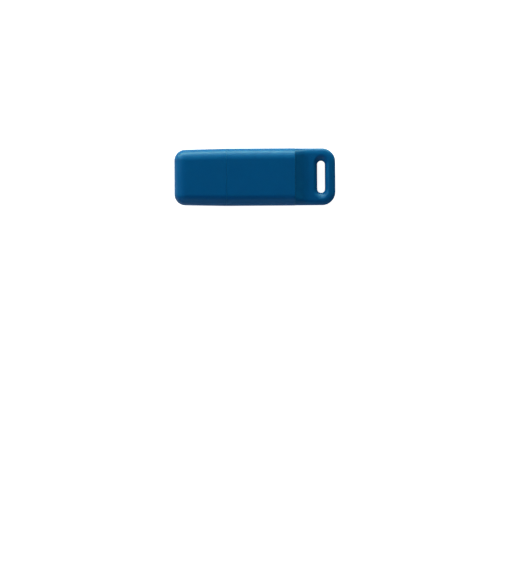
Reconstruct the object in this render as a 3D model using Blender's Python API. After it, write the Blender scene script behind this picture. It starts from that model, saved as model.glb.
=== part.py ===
"""USB flash drive with a pull-off cap and a key-ring loop.

The drive lies on its back: +X runs from the cap to the loop, +Z from the back to the front cover, and the
origin is the middle of the back face. Two moulded shells hold a circuit board, whose USB-A plug stands out of
their front end, and the cap slides over the plug. Sizes below are in millimetres.
"""

import math

import bmesh
import bpy

MM = 0.001

# --- Whole object -----------------------------------------------------------------------------------------
LENGTH = 48.6  # cap on
WIDTH = 17.3
THICKNESS = 7.8
PARTING_Z = THICKNESS / 2  # where the back shell meets the front cover
FILLET_REACH = 3.4  # the soft edges round both faces: how far they reach in from the sides
FILLET_DEPTH = 3.1  # and down from the faces
FILLET_EXPONENT = 2.0  # 2 is an ellipse, and more leaves the face more gently
INNER_CORNER = 0.4  # the least corner radius of a level that lies deep inside the outline
CAP_LENGTH = 15.7
CAP_SEAM = 0.12  # gap between the cap and the shells
FIT_GAP = 0.1  # gap between two shells, or between a part and its seat

LOOP_END_X = LENGTH / 2
CAP_END_X = -LENGTH / 2
CAP_MOUTH_X = CAP_END_X + CAP_LENGTH
FRONT_X = CAP_MOUTH_X + CAP_SEAM  # front end of the shells
HALF_WIDTH = WIDTH / 2

# --- Cap ---------------------------------------------------------------------------------------------------
CAP_CORNER = 3.3
CAP_DRAFT = 0.26  # the mould's taper: how much narrower each side is at the closed end
CAP_WALL = 1.3
CAP_END_WALL = 1.8
CAP_RIB_WIDTH = 0.8
CAP_RIB_CLEARANCE = 0.12  # between a rib and the plug
CAP_FACE_RIBS_Y = (-4.9, 4.9)  # clear of the plug's windows

# --- Shells ------------------------------------------------------------------------------------------------
LOOP_CORNER = 4.0
BODY_DRAFT = 0.08
SHELL_WALL = 1.2
SIDE_WALL = 1.5
COVER_END_X = LOOP_END_X - 12.2  # where the front cover stops and the loop's slope begins
SLOPE_END_X = COVER_END_X + 4.2
SLOPE_START_Z = 7.3
LOOP_Z = 5.3  # front face of the loop
SLOPE_STEPS = 6
SLOPE_EDGE_SHARE = 0.75  # where the slope begins, its soft front edge has this share of FILLET_REACH
SLOPE_EDGE_DEPTH = 2.0  # and runs this far down the sides
LOOP_EDGE_SHARE = 0.55  # the same two for the edge round the loop
LOOP_EDGE_DEPTH = 1.0
POCKET_END_X = COVER_END_X + 4.3  # the board's tail runs into a pocket under the slope
POCKET_Z = 4.6
LEDGE_Z = 2.8  # the board rests on two long ledges
LEDGE_HALF_GAP = 6.3
CAVITY_HALF = HALF_WIDTH - SIDE_WALL
STOP_INNER = 6.2  # two blocks in front of the board's shoulders keep the plug from being pulled out
HOLD_DOWN_INNER = 6.5  # posts under the cover keep the board on its ledges
HOLD_DOWN_X = (-1.0, 10.0)
TONGUE_THICKNESS = 0.5  # the cover's two tongues drop into rebates in the back shell
TONGUE_DEPTH = 0.7
REBATE_HALF = CAVITY_HALF + TONGUE_THICKNESS + 2 * FIT_GAP

# --- Key-ring slot -----------------------------------------------------------------------------------------
SLOT_WIDTH = 2.33
SLOT_LENGTH = 9.7
SLOT_X = LOOP_END_X - 4.3
SLOT_END_FLARE = 1.9  # how far the rounded edge reaches from the slot's two ends
SLOT_FRONT_FLARE = 1.2  # and from its long sides, at the front and at the back
SLOT_BACK_FLARE = 2.2
SLOT_FLARE_DEPTH = 1.4
SLOT_FLARE_EXPONENT = 1.4  # nearer to a chamfer than a round
SLOT_ARC_STEPS = 7

# --- USB-A plug --------------------------------------------------------------------------------------------
PLUG_WIDTH = 12.0
PLUG_HEIGHT = 4.5
PLUG_SHEET = 0.3
PLUG_CORNER = 0.6
PLUG_REACH = 11.75  # in front of the shells
PLUG_TAIL = 3.0  # inside the shells
PLUG_Z = PARTING_Z
PLUG_TIP_X = FRONT_X - PLUG_REACH
PLUG_REAR_X = FRONT_X + PLUG_TAIL
PLUG_LIP = 0.15  # the mouth's edge is turned in by this much
WINDOW_FROM_TIP = 4.9
WINDOW_LENGTH = 2.0
WINDOW_WIDTH = 2.5
WINDOW_Y = 2.85
SEAM_WIDTH = 0.1
SEAM_KEY = 0.8  # half-width of the seam's dovetail key
SEAM_KEY_LENGTH = 1.6
LEG_LENGTH = 1.1
LEG_BOTTOM_Z = PLUG_Z - 1.5
LEG_TOP_Z = PLUG_Z + 0.6

INSULATOR_FRONT_X = PLUG_TIP_X + 0.35
MOUTH_DEPTH = 8.7
MOUTH_END_X = PLUG_TIP_X + MOUTH_DEPTH
INSULATOR_REAR_X = FRONT_X + 1.4
INSULATOR_GAP = 0.04
PLATFORM_Z = PLUG_Z  # the contacts' side of the insulator, halfway through the plug
INSULATOR_BUMP = 0.15

CONTACT_WIDTH = 1.0
CONTACT_THICKNESS = 0.25
CONTACT_PROUD = 0.12
CONTACT_TIP = 0.4
CONTACT_END_X = FRONT_X + 2.8
CONTACTS = (  # name, y, distance of the front end from the plug's tip: power mates before data
    ("contact_power", -3.5, 1.2),
    ("contact_data_minus", -1.0, 2.2),
    ("contact_data_plus", 1.0, 2.2),
    ("contact_ground", 3.5, 1.2),
)

# --- Circuit board -----------------------------------------------------------------------------------------
BOARD_THICKNESS = 0.8
BOARD_TOP_Z = PLATFORM_Z - CONTACT_PROUD - 0.08
BOARD_BOTTOM_Z = BOARD_TOP_Z - BOARD_THICKNESS
BOARD_NOSE_X = INSULATOR_REAR_X + FIT_GAP
BOARD_SHOULDER_X = PLUG_REAR_X + 0.15
BOARD_TAIL_X = POCKET_END_X - 0.3
BOARD_HALF = CAVITY_HALF - 0.2
BOARD_NOSE_HALF = 5.5
BOARD_CORNER = 0.6
SOLDER_GAP = 0.03

# Small parts on the board's front side: name, x, y, size along x, size along y, height
SMALL_PARTS = (
    ("capacitor_input", -3.1, 3.6, 1.6, 0.8, 0.8),
    ("capacitor_core", 8.4, 0.0, 0.8, 1.6, 0.8),
    ("capacitor_flash", 8.4, -2.4, 0.8, 1.6, 0.8),
    ("capacitor_crystal_1", 11.2, 5.6, 0.5, 1.0, 0.5),
    ("capacitor_crystal_2", 7.9, 5.6, 0.5, 1.0, 0.5),
    ("resistor_data_minus", -3.1, -1.0, 1.0, 0.5, 0.35),
    ("resistor_data_plus", -3.1, 1.0, 1.0, 0.5, 0.35),
    ("resistor_reset", 11.9, 0.4, 1.0, 0.5, 0.35),
    ("ferrite_bead", -3.1, -3.6, 1.6, 0.8, 0.6),
)


# --- Building blocks ---------------------------------------------------------------------------------------
def clear_scene():
    for obj in list(bpy.data.objects):
        bpy.data.objects.remove(obj)


def material(name, colour, roughness, metallic=0.0):
    made = bpy.data.materials.new(name)
    made.use_nodes = True
    shader = made.node_tree.nodes["Principled BSDF"]
    shader.inputs["Base Color"].default_value = (*colour, 1.0)
    shader.inputs["Roughness"].default_value = roughness
    shader.inputs["Metallic"].default_value = metallic
    made.diffuse_color = (*colour, 1.0)
    return made


def empty(name, location, parent=None):
    """A sub-assembly's frame. Locations are in the drive's own millimetres."""
    obj = bpy.data.objects.new(name, None)
    bpy.context.scene.collection.objects.link(obj)
    obj.parent = parent
    obj.location = [v * MM for v in location]
    return obj


def solid(name, bm, look=None, parent=None):
    """An object from a bmesh drawn in the drive's millimetres. Its origin is its parent's."""
    bmesh.ops.recalc_face_normals(bm, faces=bm.faces)
    if bm.calc_volume(signed=True) < 0:
        bmesh.ops.reverse_faces(bm, faces=bm.faces)
    shift = parent.location if parent else (0.0, 0.0, 0.0)
    for vert in bm.verts:
        vert.co = [v * MM - s for v, s in zip(vert.co, shift)]
    mesh = bpy.data.meshes.new(name)
    bm.to_mesh(mesh)
    bm.free()
    obj = bpy.data.objects.new(name, mesh)
    bpy.context.scene.collection.objects.link(obj)
    obj.parent = parent
    if look:
        mesh.materials.append(look)
    mesh.shade_smooth()
    mesh.set_sharp_from_angle(angle=math.radians(35))
    return obj


def cut(obj, bm, operation="DIFFERENCE"):
    """Takes a hidden helper shape away from obj, or joins it on."""
    helper = solid(f"{obj.name}_helper_{len(obj.modifiers)}", bm, parent=obj.parent)
    helper.hide_render = True
    helper.display_type = "WIRE"
    modifier = obj.modifiers.new(operation.title(), "BOOLEAN")
    modifier.object = helper
    modifier.operation = operation
    modifier.solver = "EXACT"


def join(obj, bm):
    cut(obj, bm, "UNION")


def loft(rings, closed=False):
    """A skin through rings of equally many points. It is capped at both ends, or runs round to the start."""
    bm = bmesh.new()
    loops = [[bm.verts.new(point) for point in ring] for ring in rings]
    count = len(loops[0])
    following = loops[1:] + loops[:1] if closed else loops[1:]
    for lower, upper in zip(loops, following):
        for i in range(count):
            j = (i + 1) % count
            bm.faces.new((lower[i], lower[j], upper[j], upper[i]))
    if not closed:
        for loop in (loops[0], loops[-1]):
            for i in range(count // 2 - 1):
                bm.faces.new((loop[i], loop[i + 1], loop[-2 - i], loop[-1 - i]))
    return bm


def box(x0, x1, y0, y1, z0, z1):
    corners = ((x0, y0), (x1, y0), (x1, y1), (x0, y1))
    return loft([[(x, y, z) for x, y in corners] for z in (z0, z1)])


def prism(points, axis, low, high):
    """A flat outline pushed along an axis. The points hold the other two coordinates, in x, y, z order."""
    bm = bmesh.new()
    place = {
        "X": lambda a, b, c: (c, a, b),
        "Y": lambda a, b, c: (a, c, b),
        "Z": lambda a, b, c: (a, b, c),
    }[axis]
    ends = [[bm.verts.new(place(a, b, end)) for a, b in points] for end in (low, high)]
    for end in ends:
        bm.faces.new(end)
    for i in range(len(points)):
        j = (i + 1) % len(points)
        bm.faces.new((ends[0][i], ends[0][j], ends[1][j], ends[1][i]))
    return bm


def both_sides(inner, outer):
    """The same band of y on each side of the middle."""
    return (-outer, -inner), (inner, outer)


def arc(centre, radius_a, radius_b, start, end, steps):
    """Points on an ellipse's arc, with angles in degrees."""
    angles = [math.radians(start + (end - start) * i / steps) for i in range(steps + 1)]
    return [(centre[0] + radius_a * math.cos(a), centre[1] + radius_b * math.sin(a)) for a in angles]


def rounded_rectangle(half_a, half_b, radius, steps=4, centre=(0.0, 0.0)):
    corners = ((1, 1, 0), (-1, 1, 90), (-1, -1, 180), (1, -1, 270))
    points = []
    for sign_a, sign_b, start in corners:
        middle = (centre[0] + sign_a * (half_a - radius), centre[1] + sign_b * (half_b - radius))
        points += arc(middle, radius, radius, start, start + 90, steps)
    return points


# --- Moulded shells ----------------------------------------------------------------------------------------
def outline(side, round_x, draft, corner, steps=7):
    """The plan of a moulding with a square end and two round corners at round_x.

    side lists (x, inset) along the +Y side from the square end. The last inset goes on round the corners.
    """
    flat_x, end_inset = side[0][0], side[-1][1]
    way = 1 if round_x > flat_x else -1
    turn = max(corner, end_inset + INNER_CORNER)
    radius = turn - end_inset
    centre = (round_x - way * turn, HALF_WIDTH - draft - turn)
    taper = draft / (centre[0] - flat_x)
    points = [(x, HALF_WIDTH - taper * (x - flat_x) - inset) for x, inset in side]
    points += arc(centre, way * radius, radius, 90, 0, steps)
    return points + [(x, -y) for x, y in reversed(points)]


def rounded_quarter(exponent, steps, first=0):
    """(share of the reach, share of the depth) down a rounded edge, from the face to the side."""
    shares = []
    for i in range(steps + 1):
        angle = math.radians(first + (90 - first) * i / steps)
        shares.append((1 - math.sin(angle) ** (2 / exponent), 1 - abs(math.cos(angle)) ** (2 / exponent)))
    return shares


def fillet_levels(steps=7):
    """(height above the face, inset) along the rounded edge, from the face to the side."""
    shares = rounded_quarter(FILLET_EXPONENT, steps)
    return [(FILLET_DEPTH * down, FILLET_REACH * inwards) for inwards, down in shares]


def full_height_levels():
    low = fillet_levels()
    return low + [(THICKNESS - z, inset) for z, inset in reversed(low)]


def slope_z(x):
    """Front face of the loop: a slope that is straight for its first half and then runs out level."""
    left = min(max((SLOPE_END_X - x) / (SLOPE_END_X - COVER_END_X), 0.0), 1.0)
    share = left**2 if left < 0.5 else left - 0.25
    return LOOP_Z + (SLOPE_START_Z - LOOP_Z) * share / 0.75


def lowered(z, x):
    """Height at x of a level that lies at z on the full thickness.

    The front edge's levels follow the slope, and lie closer together there, as the edge is a shallower one.
    """
    if z <= FILLET_DEPTH:
        return z
    share = min(max((x - COVER_END_X) / (SLOPE_END_X - COVER_END_X), 0.0), 1.0)
    depth = SLOPE_EDGE_DEPTH + share * (LOOP_EDGE_DEPTH - SLOPE_EDGE_DEPTH)
    return slope_z(x) - depth * (THICKNESS - z) / FILLET_DEPTH


def slot_ring(reach_x, reach_y, z):
    """One level of the slot's outline, grown by reach_x at its long sides and by reach_y at its ends."""
    radius_x, radius_y = SLOT_WIDTH / 2 + reach_x, SLOT_WIDTH / 2 + reach_y
    straight = (SLOT_LENGTH - SLOT_WIDTH) / 2
    half = arc((SLOT_X, straight), radius_x, radius_y, 0, 180, SLOT_ARC_STEPS)
    return [(x, y, z) for x, y in half + [(2 * SLOT_X - x, -y) for x, y in half]]


def slot_flare(reach, first=20, steps=5, past=0.5):
    """(reach at the long sides, reach at the ends, depth) down one rounded edge. It starts above the face, on
    the line through its first two points, so that the cut is clean."""
    shares = rounded_quarter(SLOT_FLARE_EXPONENT, steps, first)
    levels = [(reach * a, SLOT_END_FLARE * a, SLOT_FLARE_DEPTH * down) for a, down in shares]
    upper, lower = levels[:2]
    over = (upper[2] + past) / (lower[2] - upper[2])
    levels.insert(0, [a + (a - b) * over for a, b in zip(upper, lower)])
    return levels


def slot_rings():
    """The key-ring slot's cutter. Its edges flare out at both faces."""
    back = [slot_ring(x, y, depth) for x, y, depth in slot_flare(SLOT_BACK_FLARE)]
    front = [slot_ring(x, y, LOOP_Z - depth) for x, y, depth in reversed(slot_flare(SLOT_FRONT_FLARE))]
    return back + front


def make_cap(look, parent):
    rings = []
    for z, inset in full_height_levels():
        plan = outline([(CAP_MOUTH_X, inset)], CAP_END_X, CAP_DRAFT, CAP_CORNER)
        rings.append([(x, y, z) for x, y in plan])
    cap = solid("cap", loft(rings), look, parent)
    cut(cap, prism(cap_cavity(), "X", CAP_END_X + CAP_END_WALL, CAP_MOUTH_X + 1.0))


def cap_cavity():
    """Section of the cap's hollow: a rectangle with ribs that stand in from its walls to grip the plug."""
    half_y = CAVITY_HALF
    half_z = THICKNESS / 2 - CAP_WALL
    rib_y = PLUG_WIDTH / 2 + CAP_RIB_CLEARANCE
    rib_z = PLUG_HEIGHT / 2 + CAP_RIB_CLEARANCE
    half_rib = CAP_RIB_WIDTH / 2

    face = [(half_y, half_z)]
    for y in reversed(CAP_FACE_RIBS_Y):
        face += [(y + half_rib, half_z), (y + half_rib, rib_z), (y - half_rib, rib_z), (y - half_rib, half_z)]
    face.append((-half_y, half_z))
    side = [(-half_y, half_rib), (-rib_y, half_rib), (-rib_y, -half_rib), (-half_y, -half_rib)]
    half = face + side
    section = half + [(-y, -z) for y, z in half]
    return [(y, PLUG_Z + z) for y, z in section]


def make_back_shell(look, parent):
    """The tray that the board lies in, moulded in one piece with the loop."""
    rings = []
    for z, inset in full_height_levels():
        side = [(FRONT_X, inset)]
        for i in range(SLOPE_STEPS + 1):
            share = i / SLOPE_STEPS
            x = COVER_END_X + share * (SLOPE_END_X - COVER_END_X)
            edge = SLOPE_EDGE_SHARE + share * (LOOP_EDGE_SHARE - SLOPE_EDGE_SHARE)
            side.append((x, inset * edge if z > PARTING_Z else inset))
        plan = outline(side, LOOP_END_X, BODY_DRAFT, LOOP_CORNER)
        rings.append([(x, y, lowered(z, x)) for x, y in plan])
    shell = solid("back_shell", loft(rings), look, parent)

    outside = WIDTH
    cut(shell, box(FRONT_X - 1, COVER_END_X + FIT_GAP, -outside, outside, PARTING_Z, THICKNESS + 1))
    cut(shell, prism(tray_cavity(), "X", FRONT_X + SHELL_WALL, COVER_END_X + 0.02))
    pocket = (-LEDGE_HALF_GAP, LEDGE_HALF_GAP)
    cut(shell, box(COVER_END_X - 1, POCKET_END_X, *pocket, SHELL_WALL + 0.01, POCKET_Z - 0.01))
    cut(shell, box(COVER_END_X - 1, POCKET_END_X, -CAVITY_HALF, CAVITY_HALF, LEDGE_Z - 0.01, POCKET_Z))
    cut(shell, plug_opening())
    for y0, y1 in both_sides(STOP_INNER, CAVITY_HALF + 0.05):
        x0, x1 = FRONT_X + SHELL_WALL - 0.3, BOARD_SHOULDER_X - FIT_GAP
        join(shell, box(x0, x1, y0, y1, LEDGE_Z - 0.3, PARTING_Z))
    cut(shell, loft(slot_rings()))


def tray_cavity():
    """Section of the tray's hollow: floor, board ledges, side walls, and the rebates for the tongues."""
    rebate_z = PARTING_Z - TONGUE_DEPTH - FIT_GAP
    side = [
        (LEDGE_HALF_GAP, SHELL_WALL),
        (LEDGE_HALF_GAP, LEDGE_Z),
        (CAVITY_HALF, LEDGE_Z),
        (CAVITY_HALF, rebate_z),
        (REBATE_HALF, rebate_z),
        (REBATE_HALF, PARTING_Z + 0.5),
    ]
    return side + [(-y, z) for y, z in reversed(side)]


def plug_opening():
    half_y = PLUG_WIDTH / 2 + FIT_GAP
    half_z = PLUG_HEIGHT / 2 + FIT_GAP
    x0, x1 = FRONT_X - 1, FRONT_X + SHELL_WALL + 0.5
    return box(x0, x1, -half_y, half_y, PLUG_Z - half_z, PLUG_Z + half_z)


def make_front_cover(look, parent):
    """The lid over the board, from the plug to the loop's slope."""
    bottom_z = PARTING_Z + FIT_GAP
    levels = [(bottom_z, 0.0)] + [(THICKNESS - z, inset) for z, inset in reversed(fillet_levels())]
    rings = []
    for z, inset in levels:
        half = HALF_WIDTH - inset
        plan = [(FRONT_X, half), (COVER_END_X, half), (COVER_END_X, -half), (FRONT_X, -half)]
        rings.append([(x, y, z) for x, y in plan])
    cover = solid("front_cover", loft(rings), look, parent)

    wall = SHELL_WALL
    x0, x1 = FRONT_X + wall, COVER_END_X - wall
    cut(cover, box(x0, x1, -CAVITY_HALF, CAVITY_HALF, 0, THICKNESS - wall))
    cut(cover, plug_opening())
    cut(cover, box(x1 - 1, COVER_END_X + 1, -BOARD_HALF, BOARD_HALF, 0, POCKET_Z))
    inner = CAVITY_HALF + FIT_GAP
    for y0, y1 in both_sides(inner, inner + TONGUE_THICKNESS):
        join(cover, box(x0 + 0.5, x1 - 0.5, y0, y1, PARTING_Z - TONGUE_DEPTH, bottom_z + 0.6))
    for y0, y1 in both_sides(HOLD_DOWN_INNER, CAVITY_HALF - FIT_GAP):
        for x in HOLD_DOWN_X:
            post = box(x - 0.5, x + 0.5, y0, y1, BOARD_TOP_Z + FIT_GAP, THICKNESS - wall + 0.3)
            join(cover, post)


# --- Plug --------------------------------------------------------------------------------------------------
def plug_ring(x, inset):
    section = rounded_rectangle(
        PLUG_WIDTH / 2 - inset, PLUG_HEIGHT / 2 - inset, PLUG_CORNER - inset, centre=(0.0, PLUG_Z)
    )
    return [(x, y, z) for y, z in section]


def make_plug_shell(look, parent):
    """Sheet metal folded into a tube, with its seam on the insulator's side and two legs for the board."""
    turned = 2 * PLUG_LIP
    rings = [
        plug_ring(PLUG_TIP_X, PLUG_LIP),
        plug_ring(PLUG_TIP_X + turned, 0.0),
        plug_ring(PLUG_REAR_X, 0.0),
        plug_ring(PLUG_REAR_X, PLUG_SHEET),
        plug_ring(PLUG_TIP_X, PLUG_SHEET),
    ]
    shell = solid("plug_shell", loft(rings, closed=True), look, parent)

    window_x = PLUG_TIP_X + WINDOW_FROM_TIP
    for y in (-WINDOW_Y, WINDOW_Y):
        edges = (y - WINDOW_WIDTH / 2, y + WINDOW_WIDTH / 2)
        cut(shell, box(window_x, window_x + WINDOW_LENGTH, *edges, -1, THICKNESS + 1))
    cut(shell, prism(seam_outline(), "Z", PLUG_Z + PLUG_HEIGHT / 2 - 2 * PLUG_SHEET, THICKNESS + 1))
    for y0, y1 in both_sides(PLUG_WIDTH / 2 - PLUG_SHEET + 0.02, PLUG_WIDTH / 2 - 0.02):
        join(shell, box(PLUG_REAR_X - 0.5, PLUG_REAR_X + LEG_LENGTH, y0, y1, LEG_BOTTOM_Z, LEG_TOP_Z))


def seam_outline():
    """The gap between the sheet's two edges: a straight line with one dovetail key, SEAM_WIDTH wide."""
    key_x = (PLUG_TIP_X + PLUG_REAR_X) / 2 + 2.0
    neck, root = 0.35 * SEAM_KEY_LENGTH, 0.5 * SEAM_KEY_LENGTH

    def edge(offset):
        return [
            (PLUG_TIP_X - 1.0, offset),
            (key_x - neck - offset, offset),
            (key_x - root - offset, SEAM_KEY + offset),
            (key_x + root + offset, SEAM_KEY + offset),
            (key_x + neck + offset, offset),
            (PLUG_REAR_X + 1.0, offset),
        ]

    return edge(SEAM_WIDTH / 2) + edge(-SEAM_WIDTH / 2)[::-1]


def make_insulator(look, parent):
    """Black moulding inside the plug: a platform that carries the contacts, and a block behind it."""
    top = PLUG_Z + PLUG_HEIGHT / 2 - PLUG_SHEET - INSULATOR_GAP
    bottom = PLUG_Z - PLUG_HEIGHT / 2 + PLUG_SHEET + INSULATOR_GAP
    half_y = PLUG_WIDTH / 2 - PLUG_SHEET - INSULATOR_GAP
    nose = 0.3
    side_view = [
        (INSULATOR_FRONT_X, PLATFORM_Z + nose),
        (INSULATOR_FRONT_X + nose, PLATFORM_Z),
        (MOUTH_END_X, PLATFORM_Z),
        (MOUTH_END_X, bottom),
        (INSULATOR_REAR_X, bottom),
        (INSULATOR_REAR_X, top),
        (INSULATOR_FRONT_X, top),
    ]
    insulator = solid("plug_insulator", prism(side_view, "Y", -PLUG_WIDTH, PLUG_WIDTH), look, parent)
    fit = rounded_rectangle(half_y, (top - bottom) / 2, PLUG_CORNER - PLUG_SHEET, centre=(0.0, PLUG_Z))
    cut(insulator, prism(fit, "X", PLUG_TIP_X - 1, INSULATOR_REAR_X + 1), "INTERSECT")

    slot_half = CONTACT_WIDTH / 2 + 0.05
    z0 = PLATFORM_Z - CONTACT_PROUD - 0.05
    z1 = PLATFORM_Z - CONTACT_PROUD + CONTACT_THICKNESS + 0.05
    for _, y, from_tip in CONTACTS:
        x0 = PLUG_TIP_X + from_tip - 0.1
        cut(insulator, box(x0, INSULATOR_REAR_X + 1, y - slot_half, y + slot_half, z0, z1))
    margin = 0.1
    x0 = PLUG_TIP_X + WINDOW_FROM_TIP
    for y in (-WINDOW_Y, WINDOW_Y):
        edges = (y - WINDOW_WIDTH / 2 + margin, y + WINDOW_WIDTH / 2 - margin)
        bump = (top - 0.5, top + INSULATOR_BUMP)
        join(insulator, box(x0 + margin, x0 + WINDOW_LENGTH - margin, *edges, *bump))


def make_contacts(look, parent):
    z0 = PLATFORM_Z - CONTACT_PROUD
    z1 = z0 + CONTACT_THICKNESS
    for name, y, from_tip in CONTACTS:
        x0 = PLUG_TIP_X + from_tip
        side_view = [
            (x0, z1 - 0.05),
            (x0 + CONTACT_TIP, z0),
            (CONTACT_END_X, z0),
            (CONTACT_END_X, z1),
            (x0, z1),
        ]
        edges = (y - CONTACT_WIDTH / 2, y + CONTACT_WIDTH / 2)
        solid(name, prism(side_view, "Y", *edges), look, parent)


# --- Circuit board -----------------------------------------------------------------------------------------
def make_board(look, parent):
    """The board. Its nose reaches into the plug, and two notches take the plug's legs."""
    notch_half = (PLUG_WIDTH / 2 - PLUG_SHEET - FIT_GAP, PLUG_WIDTH / 2 + FIT_GAP)
    notch_end = PLUG_REAR_X + LEG_LENGTH + FIT_GAP
    side = [
        (BOARD_NOSE_X, BOARD_NOSE_HALF),
        (notch_end, BOARD_NOSE_HALF),
        (notch_end, notch_half[1]),
        (BOARD_SHOULDER_X, notch_half[1]),
        (BOARD_SHOULDER_X, BOARD_HALF),
    ]
    tail = (BOARD_TAIL_X - BOARD_CORNER, BOARD_HALF - BOARD_CORNER)
    side += arc(tail, BOARD_CORNER, BOARD_CORNER, 90, 0, 4)
    plan = side + [(x, -y) for x, y in reversed(side)]
    solid("circuit_board", prism(plan, "Z", BOARD_BOTTOM_Z, BOARD_TOP_Z), look, parent)


def leaded_chip(size_x, size_y, height, lead_sides, pitch, lead_width, reach, standoff):
    """A chip package with gull-wing leads, on z = 0 with its front up. lead_sides is (leads on each X side,
    leads on each Y side), or a pair of numbers where the two X sides differ."""
    on_x, on_y = lead_sides
    left, right = on_x if isinstance(on_x, tuple) else (on_x, on_x)

    def stations(count):
        middles = [(i - (count - 1) / 2) * pitch for i in range(count)]
        return [m + s * lead_width / 2 for m in middles for s in (-1, 1)]

    half_x, half_y = size_x / 2, size_y / 2
    plan = [(half_x, -half_y)] + [(half_x, y) for y in stations(right)]
    plan += [(half_x, half_y)] + [(x, half_y) for x in reversed(stations(on_y))]
    plan += [(-half_x, half_y)] + [(-half_x, y) for y in reversed(stations(left))]
    plan += [(-half_x, -half_y)] + [(x, -half_y) for x in stations(on_y)]

    sheet = 0.15
    middle = standoff + height / 2
    levels = (standoff, middle - sheet / 2, middle + sheet / 2, standoff + height)
    bm = bmesh.new()
    loops = [[bm.verts.new((x, y, z)) for x, y in plan] for z in levels]
    bm.faces.new(loops[0])
    bm.faces.new(loops[-1])
    roots = []
    for row, (lower, upper) in enumerate(zip(loops, loops[1:])):
        for i in range(len(plan)):
            j = (i + 1) % len(plan)
            face = bm.faces.new((lower[i], lower[j], upper[j], upper[i]))
            width = math.dist(plan[i], plan[j])
            corner = {abs(c) for c in (*plan[i], *plan[j])} >= {half_x, half_y}
            if row == 1 and abs(width - lead_width) < 1e-6 and not corner:
                roots.append(face)
    bmesh.ops.recalc_face_normals(bm, faces=bm.faces)
    drop = middle - sheet / 2
    for out, down in ((0.3 * reach, 0.0), (0.2 * reach, drop), (0.5 * reach, 0.0)):
        roots = bmesh.ops.extrude_discrete_faces(bm, faces=roots)["faces"]
        for face in roots:
            normal = face.normal.copy()
            for vert in face.verts:
                vert.co += normal * out
                vert.co.z -= down
    return bm


def place(bm, x, y, front=True):
    """Moves a component drawn on z = 0 onto one side of the board, a solder gap away from it."""
    for vert in bm.verts:
        a, b, c = vert.co
        z = BOARD_TOP_Z + SOLDER_GAP + c if front else BOARD_BOTTOM_Z - SOLDER_GAP - c
        vert.co = (a + x, b + y, z)
    return bm


def chip_block(size_x, size_y, height, lid_inset=0.0, lid_height=0.0):
    """A small block on z = 0, with an optional narrower lid."""
    levels = [(0.0, 0.0), (height - lid_height, 0.0)]
    if lid_height:
        levels += [(height - lid_height, lid_inset), (height, lid_inset)]
    rings = []
    for z, inset in levels:
        plan = rounded_rectangle(size_x / 2 - inset, size_y / 2 - inset, 0.1, steps=1)
        rings.append([(x, y, z) for x, y in plan])
    return prism_stack(rings)


def prism_stack(rings):
    """Like loft, but capped with one flat face at each end, for outlines that aren't mirrored about y = 0."""
    bm = bmesh.new()
    loops = [[bm.verts.new(point) for point in ring] for ring in rings]
    for lower, upper in zip(loops, loops[1:]):
        for i in range(len(lower)):
            j = (i + 1) % len(lower)
            bm.faces.new((lower[i], lower[j], upper[j], upper[i]))
    bm.faces.new(loops[0])
    bm.faces.new(loops[-1])
    return bm


def solder_mound(size_x, size_y, height):
    shares = ((0.0, 1.0), (0.45, 0.85), (0.8, 0.6), (1.0, 0.3))
    rings = []
    for rise, share in shares:
        plan = rounded_rectangle(size_x / 2 * share, size_y / 2 * share, 0.4 * min(size_x, size_y) * share, 3)
        rings.append([(x, y, height * rise) for x, y in plan])
    return prism_stack(rings)


def make_components(looks, parent):
    flash = leaded_chip(18.4, 12.0, 1.0, (24, 0), 0.5, 0.22, 0.8, 0.1)
    solid("flash_memory", place(flash, 5.9, 0.0, front=False), looks["package"], parent)
    controller = leaded_chip(7.0, 7.0, 1.4, (12, 12), 0.5, 0.22, 1.0, 0.1)
    solid("controller", place(controller, 2.6, 0.0), looks["package"], parent)
    regulator = leaded_chip(1.3, 2.9, 1.0, ((2, 1), 0), 1.9, 0.4, 0.5, 0.05)
    solid("voltage_regulator", place(regulator, 9.6, -5.0), looks["package"], parent)
    crystal = chip_block(3.2, 2.5, 0.8, lid_inset=0.2, lid_height=0.3)
    solid("crystal", place(crystal, 9.6, 3.4), looks["metal"], parent)
    for name, x, y, size_x, size_y, height in SMALL_PARTS:
        look = looks["ceramic"] if name.startswith("capacitor") else looks["package"]
        solid(name, place(chip_block(size_x, size_y, height), x, y), look, parent)


def make_solder(look, parent):
    """Solder at the end of each contact, and at the plug's two legs."""
    for name, y, _ in CONTACTS:
        mound = solder_mound(0.6, CONTACT_WIDTH * 0.9, 0.3)
        solid(name.replace("contact", "solder"), place(mound, CONTACT_END_X + 0.4, y), look, parent)
    for name, side in (("solder_leg_left", 1), ("solder_leg_right", -1)):
        mound = solder_mound(LEG_LENGTH, 0.55, 0.5)
        x = PLUG_REAR_X + LEG_LENGTH / 2 + 0.1
        solid(name, place(mound, x, side * (PLUG_WIDTH / 2 + 0.4)), look, parent)


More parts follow.
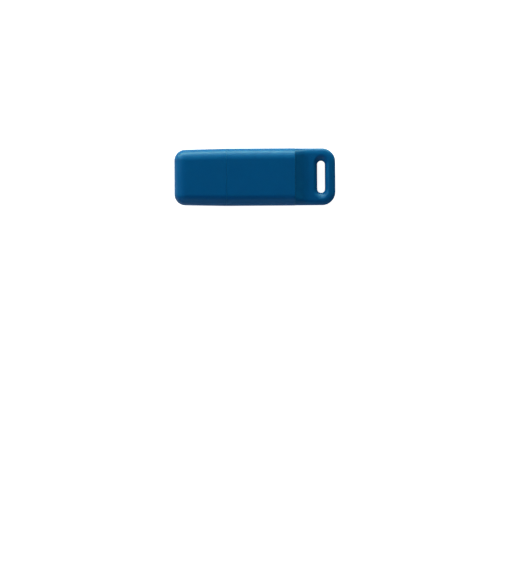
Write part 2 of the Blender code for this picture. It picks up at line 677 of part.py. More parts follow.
def main():
    clear_scene()
    blue = material("blue_plastic", (0.003, 0.075, 0.205), 0.32)
    steel = material("nickel_plated_steel", (0.62, 0.6, 0.58), 0.25, 1.0)
    black = material("black_plastic", (0.012, 0.012, 0.014), 0.45)
    gold = material("gold_plate", (0.83, 0.6, 0.25), 0.22, 1.0)
    green = material("solder_mask", (0.01, 0.12, 0.05), 0.35)
    tin = material("solder", (0.7, 0.7, 0.72), 0.3, 1.0)
    looks = {
        "package": material("chip_package", (0.02, 0.02, 0.022), 0.6),
        "metal": steel,
        "ceramic": material("capacitor_ceramic", (0.35, 0.2, 0.1), 0.5),
    }

    drive = empty("drive", (0.0, 0.0, 0.0))
    cap_frame = empty("cap_on_its_slide", (CAP_MOUTH_X, 0.0, PLUG_Z))
    plug = empty("plug", (FRONT_X, 0.0, PLUG_Z), drive)
    board = empty("board", (BOARD_SHOULDER_X, 0.0, BOARD_TOP_Z), drive)

    make_cap(blue, cap_frame)
    make_back_shell(blue, drive)
    make_front_cover(blue, drive)
    make_plug_shell(steel, plug)
    make_insulator(black, plug)
    make_contacts(gold, plug)
    make_board(green, board)
    make_components(looks, board)
    make_solder(tin, board)


main()
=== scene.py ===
"""Looks of the USB flash drive: smooth mouldings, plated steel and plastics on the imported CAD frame.

Shapes are drawn in the frame's own millimetres: +X runs from the cap to the key-ring loop, and +Z from
the back face to the front cover. Places and overall sizes come from the frame's boxes, and the rest are
named below.
"""

import math

import bmesh
import bpy
from mathutils import Matrix, Vector


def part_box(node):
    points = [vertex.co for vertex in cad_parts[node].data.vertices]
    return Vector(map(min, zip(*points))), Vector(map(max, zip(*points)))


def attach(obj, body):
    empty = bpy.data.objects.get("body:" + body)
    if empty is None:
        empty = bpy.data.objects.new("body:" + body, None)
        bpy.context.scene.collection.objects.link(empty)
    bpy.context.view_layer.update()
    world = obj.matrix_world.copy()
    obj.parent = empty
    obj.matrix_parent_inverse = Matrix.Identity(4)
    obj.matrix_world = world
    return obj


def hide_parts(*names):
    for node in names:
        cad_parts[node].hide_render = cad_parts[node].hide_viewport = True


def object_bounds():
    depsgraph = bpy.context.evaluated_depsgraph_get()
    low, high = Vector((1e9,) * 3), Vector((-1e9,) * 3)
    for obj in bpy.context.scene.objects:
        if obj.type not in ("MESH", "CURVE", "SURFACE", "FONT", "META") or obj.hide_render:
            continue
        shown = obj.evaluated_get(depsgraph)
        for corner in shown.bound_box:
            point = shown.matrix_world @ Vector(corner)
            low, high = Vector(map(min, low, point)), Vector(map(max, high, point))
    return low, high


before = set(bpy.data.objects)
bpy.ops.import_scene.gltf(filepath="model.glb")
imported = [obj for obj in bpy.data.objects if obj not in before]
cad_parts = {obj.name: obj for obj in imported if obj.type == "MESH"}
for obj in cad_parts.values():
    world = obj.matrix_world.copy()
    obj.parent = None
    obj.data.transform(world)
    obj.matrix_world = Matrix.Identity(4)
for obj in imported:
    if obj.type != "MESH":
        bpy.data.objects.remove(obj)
cad_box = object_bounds()

MM = 0.001


def corners_mm(node):
    low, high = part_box(node)
    return low / MM, high / MM


CAP_LOW, CAP_HIGH = corners_mm("cap")
BACK_LOW, BACK_HIGH = corners_mm("back_shell")
COVER_LOW, COVER_HIGH = corners_mm("front_cover")
PLUG_LOW, PLUG_HIGH = corners_mm("plug_shell")

# --- Mouldings, as in the CAD model ------------------------------------------------------------------
THICKNESS = CAP_HIGH.z
HALF_WIDTH = CAP_HIGH.y
PARTING_Z = THICKNESS / 2
FILLET_REACH = 3.4  # the soft edges round both faces: how far they reach in from the sides
FILLET_DEPTH = 3.1  # and down from the faces
FILLET_EXPONENT = 2.0  # 2 is an ellipse
INNER_CORNER = 0.4  # the least corner radius of a level that lies deep inside the outline
CAP_CORNER = 3.3
CAP_DRAFT = 0.26  # the mould's taper: how much narrower each side is at the closed end
CAP_WALL = 1.3
CAP_END_WALL = 1.8
CAP_RIB_WIDTH = 0.8
CAP_RIB_CLEARANCE = 0.12  # between a rib and the plug
CAP_FACE_RIB_Y = 4.9
LOOP_CORNER = 4.0
BODY_DRAFT = 0.08
SIDE_WALL = 1.5
CAVITY_HALF = HALF_WIDTH - SIDE_WALL
SHELL_WALL = 1.2
SHELL_GAP = 0.1  # between the two shells, and round the plug
PASSAGE_MARGIN = 0.2  # the passage from the cover to the pocket is this much narrower on each side
POCKET_LENGTH = 4.3  # how far the hollow for the board runs under the slope
POCKET_Z = 4.6
SLOPE_LENGTH = 4.2
SLOPE_START_Z = 7.3
LOOP_Z = 5.3  # front face of the loop
SLOPE_EDGE_SHARE = 0.75  # where the slope begins, its soft front edge has this share of FILLET_REACH
SLOPE_EDGE_DEPTH = 2.0  # and runs this far down the sides
LOOP_EDGE_SHARE = 0.55  # the same two for the edge round the loop
LOOP_EDGE_DEPTH = 1.0

SLOT_WIDTH = 2.33
SLOT_LENGTH = 9.7
SLOT_FROM_END = 4.3
SLOT_X = BACK_HIGH.x - SLOT_FROM_END
SLOT_END_FLARE = 1.9  # how far the rounded edge reaches from the slot's two ends
SLOT_FRONT_FLARE = 1.2  # and from its long sides, at the front and at the back
SLOT_BACK_FLARE = 2.2
SLOT_FLARE_DEPTH = 1.4
SLOT_FLARE_EXPONENT = 1.4  # nearer to a chamfer than a round

# --- Plug, as in the CAD model -----------------------------------------------------------------------
PLUG_Z = PARTING_Z
PLUG_HALF_WIDTH = 6.0
PLUG_HALF_HEIGHT = 2.25
PLUG_SHEET = 0.3
PLUG_CORNER = 0.6
PLUG_LIP = 0.15  # the mouth's edge is turned in by this much
PLUG_LIP_LENGTH = 3 * PLUG_LIP
PLUG_MOUTH_BEVEL = 0.05
PLUG_LEG_LENGTH = 1.1
PLUG_TIP_X = PLUG_LOW.x
PLUG_REAR_X = PLUG_HIGH.x - PLUG_LEG_LENGTH
WINDOW_FROM_TIP = 4.9
WINDOW_LENGTH = 2.0
WINDOW_WIDTH = 2.5
WINDOW_Y = 2.85
WINDOW_CORNER = 0.25
SEAM_WIDTH = 0.1
SEAM_KEY = 0.8  # half-width of the seam's dovetail key
SEAM_KEY_LENGTH = 1.6
SEAM_KEY_BEHIND_MIDDLE = 2.0

# --- Fine surface ------------------------------------------------------------------------------------
FILLET_STEPS = 18
CORNER_STEPS = 24
SLOPE_STEPS = 28
FLARE_STEPS = 16
LIP_STEPS = 8
WINDOW_CORNER_STEPS = 5
BEVEL_STEPS = 4
FLARE_START = 7  # degrees down the flare's curve where its first level lies
FLARE_OVERCUT = 0.05  # how far above the face the slot's cut starts
MOUTH_EDGE = 0.06  # rounding of the edges where the cap and the shells meet
SEAM_CLOSER = 0.055  # each face at the cap's seam stands this far past the CAD's, towards the other
CREASE_CLOSER = 0.08  # and the cover's face at the crease stands this far past it
COVER_EDGE = 0.12  # rounding of the cover's edge at the crease
SMOOTH_ANGLE = math.radians(32)
NEAR = 0.0001  # two places closer than this are the same
BEYOND = 1.0  # how far a cutting shape runs on past the faces that it cuts

# --- Picture -----------------------------------------------------------------------------------------
IMAGE_WIDTH, IMAGE_HEIGHT = 530, 583
PICTURE_HEIGHT = 0.17575  # metres across the picture's long side, at the front face
DRIVE_ACROSS, DRIVE_UP = 0.4808, 0.6965  # where the drive's middle stands, as shares of the picture
DRIVE_TURN = math.radians(0.35)
SENSOR = 36.0
LENS = 400.0
VIEW_LIMIT = 10  # metres

# --- Light and floor ---------------------------------------------------------------------------------
FLOOR_SIZE = 3.0
FLOOR_Z = -0.0002  # just clear of the back face
FLOOR_GLOW = 0.93  # as the camera sees it
FLOOR_BOUNCE = 0.12  # as it lights the drive
WALL_GLOW = 0.04
CEILING_GLOW = 0.06
WALL_TOP, CEILING_EDGE = 0.35, 0.85  # the upward share of a direction where one ends and the other starts
LIGHT_DISTANCE = 0.6
SOFTBOXES = (  # name, azimuth, elevation, width and height in metres, watts, colour
    ("key", 97, 9, (1.4, 0.185), 11.2, (0.94, 0.99, 0.68)),
    ("overhead", 125, 34, (1.0, 0.3), 2.9, (0.82, 0.90, 1.0)),
    ("near_side", 270, 27, (1.4, 0.3), 1.5, (0.82, 0.92, 1.0)),
)


# --- Building blocks ---------------------------------------------------------------------------------
def arc(centre, radius_a, radius_b, start, end, steps):
    """Points on an ellipse's arc, with angles in degrees."""
    angles = [math.radians(start + (end - start) * i / steps) for i in range(steps + 1)]
    return [(centre[0] + radius_a * math.cos(a), centre[1] + radius_b * math.sin(a)) for a in angles]


def rounded_rectangle(half_a, half_b, radius, steps=8, centre=(0.0, 0.0)):
    points = []
    for sign_a, sign_b, start in ((1, 1, 0), (-1, 1, 90), (-1, -1, 180), (1, -1, 270)):
        middle = (centre[0] + sign_a * (half_a - radius), centre[1] + sign_b * (half_b - radius))
        points += arc(middle, radius, radius, start, start + 90, steps)
    return points


def loft(rings, closed=False):
    """A skin through rings of equally many points. It is capped at both ends, or closed into a ring."""
    bm = bmesh.new()
    loops = [[bm.verts.new(point) for point in ring] for ring in rings]
    count = len(loops[0])
    following = loops[1:] + loops[:1] if closed else loops[1:]
    for lower, upper in zip(loops, following):
        for i in range(count):
            j = (i + 1) % count
            bm.faces.new((lower[i], lower[j], upper[j], upper[i]))
    if not closed:
        for loop in (loops[0], loops[-1]):
            for i in range(count // 2 - 1):
                bm.faces.new((loop[i], loop[i + 1], loop[-2 - i], loop[-1 - i]))
    return face_outwards(bm)


def prism(points, axis, low, high):
    """A flat outline pushed along X or Z. The points hold the other two coordinates, in x, y, z order."""
    bm = bmesh.new()
    place = {"X": lambda a, b, c: (c, a, b), "Z": lambda a, b, c: (a, b, c)}[axis]
    ends = [[bm.verts.new(place(a, b, end)) for a, b in points] for end in (low, high)]
    for end in ends:
        bm.faces.new(end)
    for i in range(len(points)):
        j = (i + 1) % len(points)
        bm.faces.new((ends[0][i], ends[0][j], ends[1][j], ends[1][i]))
    return face_outwards(bm)


def box(x0, x1, y0, y1, z0, z1):
    corners = ((x0, y0), (x1, y0), (x1, y1), (x0, y1))
    return loft([[(x, y, z) for x, y in corners] for z in (z0, z1)])


def face_outwards(bm):
    bmesh.ops.recalc_face_normals(bm, faces=bm.faces)
    if bm.calc_volume(signed=True) < 0:
        bmesh.ops.reverse_faces(bm, faces=bm.faces)
    return bm


def lies_at(x, *points):
    return all(abs(point.x - x) < NEAR for point in points)


def merge_flat_end(bm, x):
    """Makes one face of the many that lie in the plane at x."""
    flat = [f for f in bm.faces if lies_at(x, *[v.co for v in f.verts])]
    bmesh.ops.dissolve_faces(bm, faces=flat)


def soften(bm, chosen, width):
    """Rounds the edges that chosen(start, end) picks."""
    edges = [e for e in bm.edges if chosen(*[v.co for v in e.verts])]
    bmesh.ops.bevel(
        bm, geom=edges, offset=width, segments=BEVEL_STEPS, profile=0.5, affect="EDGES", clamp_overlap=True
    )
    return face_outwards(bm)


def mesh_object(name, bm):
    for vert in bm.verts:
        vert.co *= MM
    mesh = bpy.data.meshes.new(name)
    bm.to_mesh(mesh)
    bm.free()
    obj = bpy.data.objects.new(name, mesh)
    bpy.context.scene.collection.objects.link(obj)
    return obj


def cut(obj, bm):
    """Takes the shape in bm out of obj's mesh."""
    tool = mesh_object("tool", bm)
    modifier = obj.modifiers.new("Boolean", "BOOLEAN")
    modifier.object = tool
    modifier.operation = "DIFFERENCE"
    modifier.solver = "EXACT"
    result = bpy.data.meshes.new_from_object(obj.evaluated_get(bpy.context.evaluated_depsgraph_get()))
    obj.modifiers.clear()
    obj.data = result
    bpy.data.objects.remove(tool)


def finish_piece(obj, body, slot, look, *replaced):
    mesh = obj.data
    mesh.materials.clear()
    mesh.materials.append(look)
    mesh.shade_smooth()
    mesh.set_sharp_from_angle(angle=SMOOTH_ANGLE)
    weighted = obj.modifiers.new("Weighted normals", "WEIGHTED_NORMAL")
    weighted.keep_sharp = True
    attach(obj, body)
    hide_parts(*replaced)


# --- Mouldings ---------------------------------------------------------------------------------------
def outline(side, round_x, draft, corner):
    """The plan of a moulding with a square end and two round corners at round_x.

    side lists (x, inset) along the +Y side from the square end. The last inset goes on round the corners.
    """
    flat_x, end_inset = side[0][0], side[-1][1]
    way = 1 if round_x > flat_x else -1
    turn = max(corner, end_inset + INNER_CORNER)
    radius = turn - end_inset
    centre = (round_x - way * turn, HALF_WIDTH - draft - turn)
    taper = draft / (centre[0] - flat_x)
    points = [(x, HALF_WIDTH - taper * (x - flat_x) - inset) for x, inset in side]
    points += arc(centre, way * radius, radius, 90, 0, CORNER_STEPS)
    return points + [(x, -y) for x, y in reversed(points)]


def rounded_quarter(exponent, steps, first=0):
    """(share of the reach, share of the depth) down a rounded edge, from the face to the side.

    first is the angle in degrees that it starts at: 0 is at the face, and 90 at the side.
    """
    shares = []
    for i in range(steps + 1):
        angle = math.radians(first + (90 - first) * i / steps)
        shares.append((1 - math.sin(angle) ** (2 / exponent), 1 - abs(math.cos(angle)) ** (2 / exponent)))
    return shares


def fillet_levels():
    """(height above the face, inset) along the rounded edge, from the face to the side."""
    shares = rounded_quarter(FILLET_EXPONENT, FILLET_STEPS)
    return [(FILLET_DEPTH * down, FILLET_REACH * inwards) for inwards, down in shares]


def full_height_levels():
    low = fillet_levels()
    return low + [(THICKNESS - z, inset) for z, inset in reversed(low)]


def slope_z(x):
    """Front face of the loop: a slope that is straight for its first half and then runs out level."""
    left = min(max(1 - (x - COVER_HIGH.x) / SLOPE_LENGTH, 0.0), 1.0)
    share = left**2 if left < 0.5 else left - 0.25
    return LOOP_Z + (SLOPE_START_Z - LOOP_Z) * share / 0.75


def lowered(z, x):
    """Height at x of a level that lies at z on the full thickness.

    The front edge's levels follow the slope, and lie closer together there, as the edge is a shallower one.
    """
    if z <= FILLET_DEPTH:
        return z
    share = min(max((x - COVER_HIGH.x) / SLOPE_LENGTH, 0.0), 1.0)
    depth = SLOPE_EDGE_DEPTH + share * (LOOP_EDGE_DEPTH - SLOPE_EDGE_DEPTH)
    return slope_z(x) - depth * (THICKNESS - z) / FILLET_DEPTH


def cap_cavity():
    """Section of the cap's hollow, with the ribs that stand round the plug."""
    half_y, half_z = CAVITY_HALF, THICKNESS / 2 - CAP_WALL
    rib_y = PLUG_HALF_WIDTH + CAP_RIB_CLEARANCE
    rib_z = PLUG_HALF_HEIGHT + CAP_RIB_CLEARANCE
    rib = CAP_RIB_WIDTH / 2
    half = [(half_y, half_z)]
    for y in (CAP_FACE_RIB_Y, -CAP_FACE_RIB_Y):
        half += [(y + rib, half_z), (y + rib, rib_z), (y - rib, rib_z), (y - rib, half_z)]
    half += [(-half_y, half_z), (-half_y, rib), (-rib_y, rib), (-rib_y, -rib), (-half_y, -rib)]
    return [(y, PLUG_Z + z) for y, z in half + [(-y, -z) for y, z in half]]


def make_cap(look):
    mouth = CAP_HIGH.x + SEAM_CLOSER
    rings = []
    for z, inset in full_height_levels():
        plan = outline([(mouth, inset)], CAP_LOW.x, CAP_DRAFT, CAP_CORNER)
        rings.append([(x, y, z) for x, y in plan])
    bm = loft(rings)
    merge_flat_end(bm, mouth)
    soften(bm, lambda a, b: lies_at(mouth, a, b), MOUTH_EDGE)
    cap = mesh_object("cap_moulding", bm)
    cut(cap, prism(cap_cavity(), "X", CAP_LOW.x + CAP_END_WALL, mouth + BEYOND))
    finish_piece(cap, "cap", "blue_plastic", look, "cap")


def slot_ring(reach_x, reach_y, z):
    """One level of the slot's outline, grown by reach_x at its long sides and by reach_y at its ends."""
    radius_x, radius_y = SLOT_WIDTH / 2 + reach_x, SLOT_WIDTH / 2 + reach_y
    straight = (SLOT_LENGTH - SLOT_WIDTH) / 2
    half = arc((SLOT_X, straight), radius_x, radius_y, 0, 180, 2 * CORNER_STEPS)
    return [(x, y, z) for x, y in half + [(2 * SLOT_X - x, -y) for x, y in half]]


def slot_flare(reach):
    """(reach at the long sides, reach at the ends, depth) down one rounded edge.

    It starts above the face, on the line through its first two points, so that the cut is clean.
    """
    shares = rounded_quarter(SLOT_FLARE_EXPONENT, FLARE_STEPS, FLARE_START)
    levels = [(reach * a, SLOT_END_FLARE * a, SLOT_FLARE_DEPTH * down) for a, down in shares]
    upper, lower = levels[:2]
    over = (upper[2] + FLARE_OVERCUT) / (lower[2] - upper[2])
    levels.insert(0, [a + (a - b) * over for a, b in zip(upper, lower)])
    return levels


def slot_rings():
    back = [slot_ring(x, y, depth) for x, y, depth in slot_flare(SLOT_BACK_FLARE)]
    front = [slot_ring(x, y, LOOP_Z - depth) for x, y, depth in reversed(slot_flare(SLOT_FRONT_FLARE))]
    return back + front


def plug_opening():
    half_y, half_z = PLUG_HALF_WIDTH + SHELL_GAP, PLUG_HALF_HEIGHT + SHELL_GAP
    section = rounded_rectangle(half_y, half_z, PLUG_CORNER, centre=(0.0, PLUG_Z))
    return prism(section, "X", BACK_LOW.x - BEYOND, BACK_LOW.x + SHELL_WALL + BEYOND / 2)


def make_back_shell(look):
    front, crease = BACK_LOW.x - SEAM_CLOSER, COVER_HIGH.x
    rings = []
    for z, inset in full_height_levels():
        side = [(front, inset)]
        for i in range(SLOPE_STEPS + 1):
            share = i / SLOPE_STEPS
            x = crease + share * SLOPE_LENGTH
            edge = SLOPE_EDGE_SHARE + share * (LOOP_EDGE_SHARE - SLOPE_EDGE_SHARE)
            side.append((x, inset * edge if z > PARTING_Z else inset))
        plan = outline(side, BACK_HIGH.x, BODY_DRAFT, LOOP_CORNER)
        rings.append([(x, y, lowered(z, x)) for x, y in plan])
    bm = loft(rings)
    merge_flat_end(bm, front)
    soften(bm, lambda a, b: lies_at(front, a, b), MOUTH_EDGE)
    shell = mesh_object("back_shell_moulding", bm)
    cut(shell, loft(slot_rings()))
    outside = 2 * HALF_WIDTH
    cut(shell, box(front - BEYOND, crease + SHELL_GAP, -outside, outside, PARTING_Z, THICKNESS + BEYOND))
    x0, x1 = front + SHELL_WALL, crease + POCKET_LENGTH
    cut(shell, box(x0, x1, -CAVITY_HALF, CAVITY_HALF, SHELL_WALL, POCKET_Z))
    cut(shell, plug_opening())
    finish_piece(shell, "drive", "blue_plastic", look, "back_shell")


def make_front_cover(look):
    front, crease, bottom = COVER_LOW.x - SEAM_CLOSER, COVER_HIGH.x + CREASE_CLOSER, PARTING_Z + SHELL_GAP
    levels = [(bottom, 0.0)] + [(THICKNESS - z, inset) for z, inset in reversed(fillet_levels())]
    rings = []
    for z, inset in levels:
        half = HALF_WIDTH - inset
        rings.append([(front, half, z), (crease, half, z), (crease, -half, z), (front, -half, z)])
    bm = loft(rings)
    for x, edge in ((front, MOUTH_EDGE), (crease, COVER_EDGE)):
        merge_flat_end(bm, x)
        soften(bm, lambda a, b: lies_at(x, a, b) and max(a.z, b.z) > bottom + NEAR, edge)
    cover = mesh_object("front_cover_moulding", bm)
    x0, x1 = front + SHELL_WALL, crease - SHELL_WALL
    cut(cover, box(x0, x1, -CAVITY_HALF, CAVITY_HALF, 0, THICKNESS - SHELL_WALL))
    cut(cover, plug_opening())
    passage = CAVITY_HALF - PASSAGE_MARGIN
    cut(cover, box(x1 - BEYOND, crease + BEYOND, -passage, passage, 0, POCKET_Z))
    finish_piece(cover, "drive", "blue_plastic", look, "front_cover")


# --- Plug --------------------------------------------------------------------------------------------
def plug_ring(x, inset):
    section = rounded_rectangle(
        PLUG_HALF_WIDTH - inset, PLUG_HALF_HEIGHT - inset, PLUG_CORNER - inset, centre=(0.0, PLUG_Z)
    )
    return [(x, y, z) for y, z in section]


def seam_outline():
    """The gap between the sheet's two edges: a straight line with one dovetail key, SEAM_WIDTH wide."""
    key_x = (PLUG_TIP_X + PLUG_REAR_X) / 2 + SEAM_KEY_BEHIND_MIDDLE
    neck, root = 0.35 * SEAM_KEY_LENGTH, 0.5 * SEAM_KEY_LENGTH

    def edge(offset):
        return [
            (PLUG_TIP_X - BEYOND, offset),
            (key_x - neck - offset, offset),
            (key_x - root - offset, SEAM_KEY + offset),
            (key_x + root + offset, SEAM_KEY + offset),
            (key_x + neck + offset, offset),
            (PLUG_REAR_X + BEYOND, offset),
        ]

    return edge(SEAM_WIDTH / 2) + edge(-SEAM_WIDTH / 2)[::-1]


def make_plug_shell(look):
    lip = arc((PLUG_TIP_X + PLUG_LIP_LENGTH, PLUG_LIP), PLUG_LIP_LENGTH, PLUG_LIP, 180, 270, LIP_STEPS)
    rings = [plug_ring(x, inset) for x, inset in lip]
    rings += [plug_ring(PLUG_REAR_X, 0.0), plug_ring(PLUG_REAR_X, PLUG_SHEET)]
    rings.append(plug_ring(PLUG_TIP_X + PLUG_MOUTH_BEVEL, PLUG_SHEET))
    rings.append(plug_ring(PLUG_TIP_X, PLUG_SHEET - PLUG_MOUTH_BEVEL))
    shell = mesh_object("plug_shell_plated", loft(rings, closed=True))
    half_length, half_width = WINDOW_LENGTH / 2, WINDOW_WIDTH / 2
    for y in (-WINDOW_Y, WINDOW_Y):
        middle = (PLUG_TIP_X + WINDOW_FROM_TIP + WINDOW_LENGTH / 2, y)
        window = rounded_rectangle(half_length, half_width, WINDOW_CORNER, WINDOW_CORNER_STEPS, middle)
        cut(shell, prism(window, "Z", -BEYOND, THICKNESS + BEYOND))
    seam_bottom = PLUG_Z + PLUG_HALF_HEIGHT - 2 * PLUG_SHEET
    cut(shell, prism(seam_outline(), "Z", seam_bottom, THICKNESS + BEYOND))
    finish_piece(shell, "drive", "nickel_plated_steel", look, "plug_shell")


# --- Materials ---------------------------------------------------------------------------------------
def new_material(name, roughness, metallic=0.0):
    made = bpy.data.materials.new(name)
    made.use_nodes = True
    shader = made.node_tree.nodes["Principled BSDF"]
    shader.inputs["Roughness"].default_value = roughness
    shader.inputs["Metallic"].default_value = metallic
    return made, made.node_tree, shader


def noise(tree, scale, detail=2.0, stretch=(1, 1, 1)):
    """A noise texture on the piece's own coordinates, in features per metre."""
    place = tree.nodes.new("ShaderNodeTexCoord")
    mapping = tree.nodes.new("ShaderNodeMapping")
    mapping.inputs["Scale"].default_value = stretch
    texture = tree.nodes.new("ShaderNodeTexNoise")
    texture.inputs["Scale"].default_value = scale
    texture.inputs["Detail"].default_value = detail
    tree.links.new(place.outputs["Object"], mapping.inputs["Vector"])
    tree.links.new(mapping.outputs["Vector"], texture.inputs["Vector"])
    return texture.outputs["Fac"]


def spread(tree, value, low, high, start=0.3, end=0.7):
    """Maps a value between start and end to the range from low to high. The defaults suit a noise."""
    node = tree.nodes.new("ShaderNodeMapRange")
    for socket, number in (("From Min", start), ("From Max", end), ("To Min", low), ("To Max", high)):
        node.inputs[socket].default_value = number
    tree.links.new(value, node.inputs["Value"])
    return node.outputs["Result"]


def mix(tree, factor, first, second):
    node = tree.nodes.new("ShaderNodeMix")
    node.data_type = "RGBA"
    tree.links.new(factor, node.inputs["Factor"])
    for socket, colour in ((node.inputs["A"], first), (node.inputs["B"], second)):
        if isinstance(colour, tuple):
            socket.default_value = (*colour, 1)
        else:
            tree.links.new(colour, socket)
    return node.outputs["Result"]


def bump(tree, shader, height, distance, under=None):
    node = tree.nodes.new("ShaderNodeBump")
    node.inputs["Distance"].default_value = distance
    node.inputs["Strength"].default_value = 1.0
    tree.links.new(height, node.inputs["Height"])
    if under:
        tree.links.new(under, node.inputs["Normal"])
    tree.links.new(node.outputs["Normal"], shader.inputs["Normal"])
    return node.outputs["Normal"]


def mottled(
    name, first, second, roughness, metallic=0.0, scale=400, grain=9000, depth=1e-6, stretch=(1, 1, 1)
):
    """A surface whose colour drifts between two tones, with uneven gloss and a fine grain."""
    made, tree, shader = new_material(name, roughness[0], metallic)
    drift = noise(tree, scale, 3.0, stretch)
    tree.links.new(mix(tree, spread(tree, drift, 0, 1), first, second), shader.inputs["Base Color"])
    gloss = spread(tree, noise(tree, 2 * scale, 4.0, stretch), *roughness)
    tree.links.new(gloss, shader.inputs["Roughness"])
    bump(tree, shader, noise(tree, grain, 2.0, stretch), depth)
    return made


def blue_plastic():
    """Satin moulded plastic: a fine spark-eroded grain, soft waviness, and a painted rim light that makes
    the edges a lighter blue.
    """
    made, tree, shader = new_material("blue_plastic", 0.36)
    base, pale, lit_rim_tone = (0.0001, 0.088, 0.262), (0.0002, 0.094, 0.278), (0.01, 0.13, 0.34)
    shader.inputs["Specular IOR Level"].default_value = 0.3
    shader.inputs["Specular Tint"].default_value = (0.4, 0.85, 1.0, 1)
    shader.inputs["Subsurface Weight"].default_value = 0.35
    shader.inputs["Subsurface Radius"].default_value = (0.2, 0.8, 1.0)
    shader.inputs["Subsurface Scale"].default_value = 2.2 * MM
    colour = mix(tree, spread(tree, noise(tree, 70, 2.0), 0, 1), base, pale)
    geometry = tree.nodes.new("ShaderNodeNewGeometry")
    # painted rim light: convex edges, found by Pointiness, are painted a lighter, more saturated blue, as
    # where light catches the rims
    painted_rim_light = spread(tree, geometry.outputs["Pointiness"], 0, 0.35, start=0.53, end=0.62)
    tree.links.new(mix(tree, painted_rim_light, colour, lit_rim_tone), shader.inputs["Base Color"])
    gloss = spread(tree, noise(tree, 350, 4.0), 0.33, 0.40)
    tree.links.new(gloss, shader.inputs["Roughness"])
    waves = bump(tree, shader, noise(tree, 260, 1.0), 4e-6)
    bump(tree, shader, noise(tree, 7000, 2.0), 2.5e-6, under=waves)
    return made


def steel_look():
    """Nickel-plated sheet: fine rolling lines along the plug, and slightly uneven gloss."""
    dull, bright = (0.70, 0.685, 0.66), (0.74, 0.725, 0.70)
    lines = {"scale": 700, "grain": 14000, "depth": 4e-7, "stretch": (0.1, 1, 1)}
    return mottled("nickel_plated_steel", dull, bright, (0.30, 0.35), metallic=1.0, **lines)


def board_look():
    """Green lacquer over copper: tracks show through as slightly paler bands."""
    made, tree, shader = new_material("solder_mask", 0.3)
    dark, light, track = (0.006, 0.085, 0.03), (0.009, 0.11, 0.04), (0.03, 0.17, 0.06)
    tracks = noise(tree, 1500, 0.0, (0.25, 1, 1))
    ground = mix(tree, spread(tree, noise(tree, 300), 0, 1), dark, light)
    colour = mix(tree, spread(tree, tracks, 0, 1, start=0.52, end=0.56), ground, track)
    tree.links.new(colour, shader.inputs["Base Color"])
    gloss = spread(tree, noise(tree, 900, 3.0), 0.24, 0.36)
    tree.links.new(gloss, shader.inputs["Roughness"])
    bump(tree, shader, tracks, 8e-6)
    return made


def paint(look, *names):
    for name in names:
        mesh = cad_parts[name].data
        mesh.materials.clear()
        mesh.materials.append(look)


def nodes_named(start):
    return [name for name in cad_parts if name.startswith(start)]


def paint_plug_inside():
    """Looks of the insulator, the contacts and the solder, which keep their CAD shape."""
    black = mottled("black_plastic", (0.012, 0.012, 0.013), (0.02, 0.02, 0.021), (0.42, 0.55), depth=2e-6)
    gold = mottled(
        "gold_plate", (0.83, 0.60, 0.24), (0.90, 0.68, 0.32), (0.18, 0.28), metallic=1.0, grain=14000
    )
    tin = mottled(
        "solder", (0.55, 0.55, 0.56), (0.66, 0.66, 0.67), (0.22, 0.42), metallic=1.0, scale=1500, depth=3e-6
    )
    paint(black, "plug_insulator")
    paint(gold, *nodes_named("contact_"))
    paint(tin, *nodes_named("solder_"))


def paint_board():
    """Looks of the circuit board and what is mounted on it, which keep their CAD shape."""
    can = mottled(
        "crystal_can", (0.62, 0.62, 0.63), (0.7, 0.7, 0.71), (0.2, 0.32), metallic=1.0, scale=900
    )
    epoxy = mottled("chip_package", (0.018, 0.018, 0.02), (0.03, 0.03, 0.032), (0.5, 0.62), depth=3e-6)
    ceramic = mottled("ceramic", (0.34, 0.24, 0.15), (0.42, 0.30, 0.19), (0.4, 0.55), scale=1500)
    ferrite = mottled("ferrite", (0.05, 0.05, 0.055), (0.08, 0.08, 0.085), (0.55, 0.7), scale=1500)
    paint(can, "crystal")
    paint(epoxy, "flash_memory", "controller", "voltage_regulator", *nodes_named("resistor_"))
    paint(ceramic, *nodes_named("capacitor_"))
    paint(ferrite, "ferrite_bead")
    paint(board_look(), "circuit_board")


# --- Studio ------------------------------------------------------------------------------------------
def add_camera():
    data = bpy.data.cameras.new("camera")
    data.sensor_width = SENSOR
    data.lens = LENS
    data.clip_end = VIEW_LIMIT
    camera = bpy.data.objects.new("camera", data)
    low, high = cad_box
    middle = (low + high) / 2
    picture_width = PICTURE_HEIGHT * IMAGE_WIDTH / IMAGE_HEIGHT
    aside = Vector(((0.5 - DRIVE_ACROSS) * picture_width, (0.5 - DRIVE_UP) * PICTURE_HEIGHT))
    aside.rotate(Matrix.Rotation(-DRIVE_TURN, 2))
    camera.location = (middle.x + aside.x, middle.y + aside.y, high.z + LENS / SENSOR * PICTURE_HEIGHT)
    camera.rotation_euler.z = -DRIVE_TURN
    bpy.context.scene.collection.objects.link(camera)
    bpy.context.scene.camera = camera


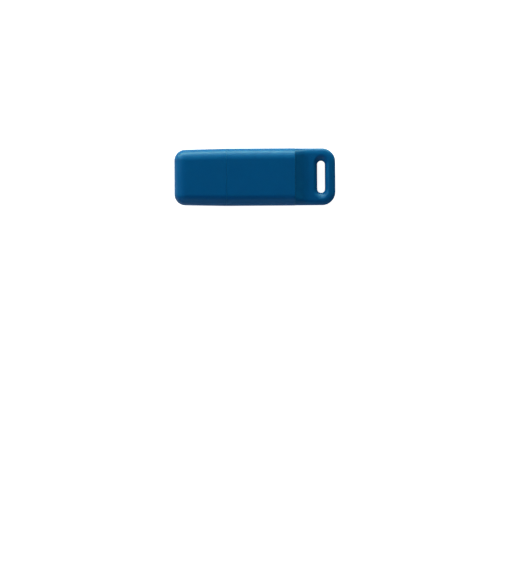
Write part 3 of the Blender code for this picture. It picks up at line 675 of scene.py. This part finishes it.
def add_floor():
    """A white floor that glows a little, as a light table does, so that shadows on it stay faint."""
    bm = bmesh.new()
    bmesh.ops.create_grid(bm, x_segments=1, y_segments=1, size=FLOOR_SIZE)
    mesh = bpy.data.meshes.new("floor")
    bm.to_mesh(mesh)
    bm.free()
    floor = bpy.data.objects.new("floor", mesh)
    floor.location.z = FLOOR_Z
    bpy.context.scene.collection.objects.link(floor)
    made, tree, shader = new_material("floor", 0.9)
    shader.inputs["Base Color"].default_value = (0.8, 0.8, 0.8, 1)
    shader.inputs["Specular IOR Level"].default_value = 0.0
    shader.inputs["Emission Color"].default_value = (1, 1, 1, 1)
    path = tree.nodes.new("ShaderNodeLightPath")
    glow = spread(tree, path.outputs["Is Camera Ray"], FLOOR_BOUNCE, FLOOR_GLOW, start=0, end=1)
    tree.links.new(glow, shader.inputs["Emission Strength"])
    mesh.materials.append(made)


def area_light(name, azimuth, elevation, size, power, colour):
    """A softbox that faces the drive. Azimuth 0 is +X and 90 is +Y."""
    data = bpy.data.lights.new(name, "AREA")
    data.shape = "RECTANGLE"
    data.size, data.size_y = size
    data.energy = power
    data.color = colour
    light = bpy.data.objects.new(name, data)
    a, e = math.radians(azimuth), math.radians(elevation)
    away = Vector((math.cos(a) * math.cos(e), math.sin(a) * math.cos(e), math.sin(e)))
    light.location = away * LIGHT_DISTANCE
    light.rotation_euler = away.to_track_quat("Z", "Y").to_euler()
    bpy.context.scene.collection.objects.link(light)


def add_world():
    """A dim studio, a little brighter overhead than at its walls, and plain white to the camera."""
    world = bpy.data.worlds.new("studio")
    world.use_nodes = True
    tree = world.node_tree
    background = tree.nodes["Background"]
    place = tree.nodes.new("ShaderNodeTexCoord")
    split = tree.nodes.new("ShaderNodeSeparateXYZ")
    tree.links.new(place.outputs["Generated"], split.inputs["Vector"])
    glow = spread(tree, split.outputs["Z"], WALL_GLOW, CEILING_GLOW, WALL_TOP, CEILING_EDGE)
    path = tree.nodes.new("ShaderNodeLightPath")
    strength = tree.nodes.new("ShaderNodeMix")
    tree.links.new(path.outputs["Is Camera Ray"], strength.inputs["Factor"])
    tree.links.new(glow, strength.inputs["A"])
    strength.inputs["B"].default_value = 1.0
    tree.links.new(strength.outputs["Result"], background.inputs["Strength"])
    background.inputs["Color"].default_value = (1, 1, 1, 1)
    bpy.context.scene.world = world


def add_studio():
    add_camera()
    add_floor()
    add_world()
    for softbox in SOFTBOXES:
        area_light(*softbox)
    bpy.context.scene.view_settings.view_transform = "Standard"


blue = blue_plastic()
make_cap(blue)
make_back_shell(blue)
make_front_cover(blue)
make_plug_shell(steel_look())
paint_plug_inside()
paint_board()
add_studio()
